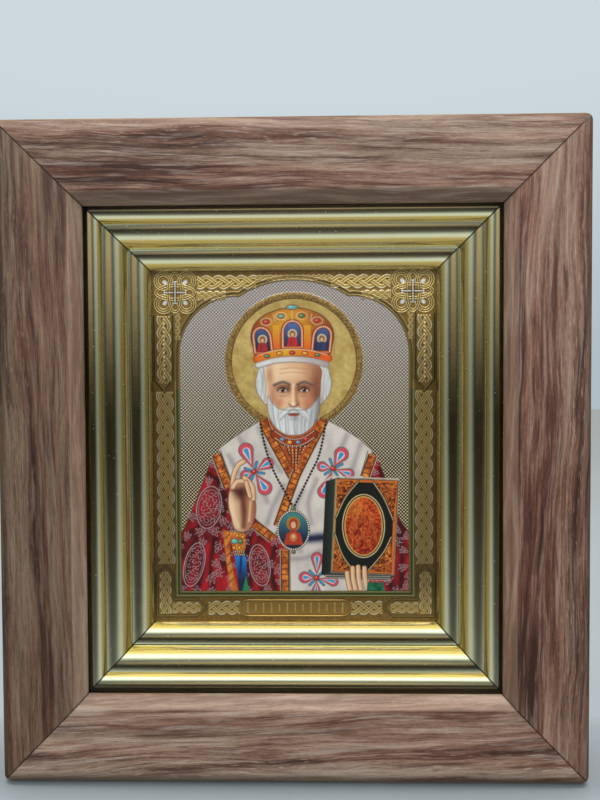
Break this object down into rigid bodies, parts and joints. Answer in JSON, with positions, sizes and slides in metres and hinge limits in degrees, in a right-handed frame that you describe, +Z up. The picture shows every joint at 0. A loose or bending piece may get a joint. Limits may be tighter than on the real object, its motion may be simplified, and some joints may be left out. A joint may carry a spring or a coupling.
{
  "type": "framed icon panel",
  "caption": "Small upright icon: mitred stained-wood frame with a reeded brass-coloured liner, glass pane and an embossed foil print of a robed figure under an arch.",
  "frame": {"origin": "under the middle of the bottom rail, on the surface the frame stands on", "axes": "+Z up the picture, -Y out of the picture towards the viewer, +X to the viewer's right"},
  "size_m": [0.196, 0.032, 0.2206],
  "materials": {
    "frame_wood": "brown-grey stain over open grain, satin",
    "liner_brass": "bright brass-coloured foil, near mirror",
    "pane_glass": "clear",
    "foil_print": "embossed gold and silver foil with printed colours",
    "board": "plain brown fibre board"
  },
  "bodies": {
    "root": {"wood_rail_bottom": "frame_wood", "wood_rail_left": "frame_wood", "wood_rail_top": "frame_wood", "wood_rail_right": "frame_wood", "liner_bottom": "liner_brass", "liner_left": "liner_brass", "liner_top": "liner_brass", "liner_right": "liner_brass", "glass_pane": "pane_glass", "icon_print": "foil_print", "back_board": "board"}
  },
  "joints": []
}
